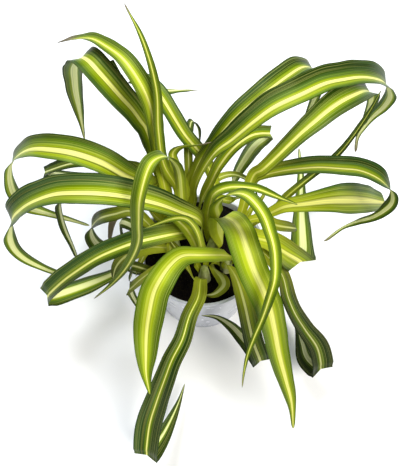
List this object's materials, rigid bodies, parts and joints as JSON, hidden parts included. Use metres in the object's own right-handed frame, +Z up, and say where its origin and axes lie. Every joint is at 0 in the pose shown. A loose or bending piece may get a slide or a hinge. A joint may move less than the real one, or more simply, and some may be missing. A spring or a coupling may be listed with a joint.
{
  "type": "potted spider plant",
  "caption": "Spider plant with long arching leaves, each striped cream down its middle, growing in clumps from potting mix in a plain white tapered pot.",
  "frame": {"origin": "middle of the pot's flat base", "axes": "+Z up, -Y towards the side seen in the picture, +X to its right"},
  "size_m": [0.4298, 0.4008, 0.3087],
  "materials": {
    "pot_white": "smooth gloss white, moulded",
    "potting_mix": "moist dark crumbly compost",
    "crown_pale": "smooth pale leaf sheaths",
    "leaf_green": "satin leaf, green margins with a cream middle stripe",
    "leaf_young": "satin leaf, bright yellow-green with a cream middle stripe",
    "leaf_shaded": "satin leaf, dark green with a pale middle stripe"
  },
  "bodies": {
    "root": {"crown_back": "crown_pale", "crown_back_left": "crown_pale", "crown_back_middle": "crown_pale", "crown_front": "crown_pale", "crown_front_right": "crown_pale", "crown_left": "crown_pale", "crown_middle": "crown_pale", "crown_right": "crown_pale", "leaf_back_inner_young": "leaf_young", "leaf_back_left_broad": "leaf_green", "leaf_back_left_folded": "leaf_green", "leaf_back_left_shaded": "leaf_shaded", "leaf_back_left_slim": "leaf_young", "leaf_back_right_high": "leaf_green", "leaf_back_right_kinked": "leaf_green", "leaf_back_right_long": "leaf_green", "leaf_back_short_loop": "leaf_shaded", "leaf_back_small_arch": "leaf_shaded", "leaf_back_small_curl": "leaf_young", "leaf_back_upright_slim": "leaf_young", "leaf_centre_front_curl": "leaf_young", "leaf_centre_left_hanging": "leaf_young", "leaf_centre_right_curl": "leaf_young", "leaf_front_left_arch": "leaf_young", "leaf_front_long_folded": "leaf_green", "leaf_front_right_broad": "leaf_young", "leaf_front_right_folded": "leaf_shaded", "leaf_left_back_folded": "leaf_shaded", "leaf_left_dry_slim": "leaf_shaded", "leaf_left_front_folded": "leaf_green", "leaf_left_inner_curl": "leaf_shaded", "leaf_left_inner_short": "leaf_shaded", "leaf_left_inner_slim": "leaf_shaded", "leaf_left_long": "leaf_green", "leaf_left_low_curl": "leaf_shaded", "leaf_left_low_folded": "leaf_shaded", "leaf_left_low_short": "leaf_shaded", "leaf_left_low_small": "leaf_shaded", "leaf_left_under_slim": "leaf_shaded", "leaf_left_upper": "leaf_green", "leaf_pot_curl": "leaf_shaded", "leaf_pot_inner": "leaf_shaded", "leaf_right_back": "leaf_green", "leaf_right_back_slim": "leaf_green", "leaf_right_broad": "leaf_green", "leaf_right_front_folded": "leaf_shaded", "leaf_right_kinked": "leaf_green", "leaf_right_long": "leaf_green", "leaf_right_short": "leaf_shaded", "leaf_right_tiny": "leaf_shaded", "leaf_young_curl": "leaf_young", "leaf_young_short": "leaf_young", "pot": "pot_white", "potting_mix": "potting_mix"}
  },
  "joints": []
}
